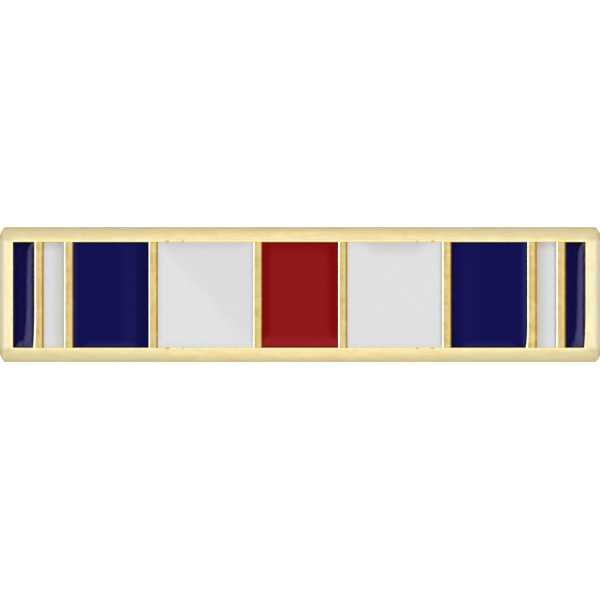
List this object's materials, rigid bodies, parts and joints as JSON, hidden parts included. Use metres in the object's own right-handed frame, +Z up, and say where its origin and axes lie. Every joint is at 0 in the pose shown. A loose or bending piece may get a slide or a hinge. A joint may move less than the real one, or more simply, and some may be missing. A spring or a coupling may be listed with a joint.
{
  "type": "lapel pin",
  "caption": "Small rectangular ribbon bar lapel pin: gold-plated struck rim and cell walls, striped enamel in recessed cells, flat back with a straight pointed post.",
  "frame": {"origin": "on the surface that the pin rests on, under the middle of its box", "axes": "+X along the bar to the right as its face is seen, +Z up; the enamelled face looks to -Y and leans back about 11 degrees, and the post runs back along +Y and a little down"},
  "size_m": [0.0176, 0.0094, 0.0041],
  "materials": {
    "gold_plate": "flash gold plating over struck and polished brass",
    "navy_enamel": "glossy baked soft enamel",
    "white_enamel": "glossy baked soft enamel",
    "red_enamel": "glossy baked soft enamel"
  },
  "bodies": {
    "root": {"bar_body": "gold_plate", "enamel_navy_edge_left": "navy_enamel", "enamel_white_narrow_left": "white_enamel", "enamel_navy_broad_left": "navy_enamel", "enamel_white_broad_left": "white_enamel", "enamel_red_center": "red_enamel", "enamel_white_broad_right": "white_enamel", "enamel_navy_broad_right": "navy_enamel", "enamel_white_narrow_right": "white_enamel", "enamel_navy_edge_right": "navy_enamel", "back_post": "gold_plate"}
  },
  "joints": []
}
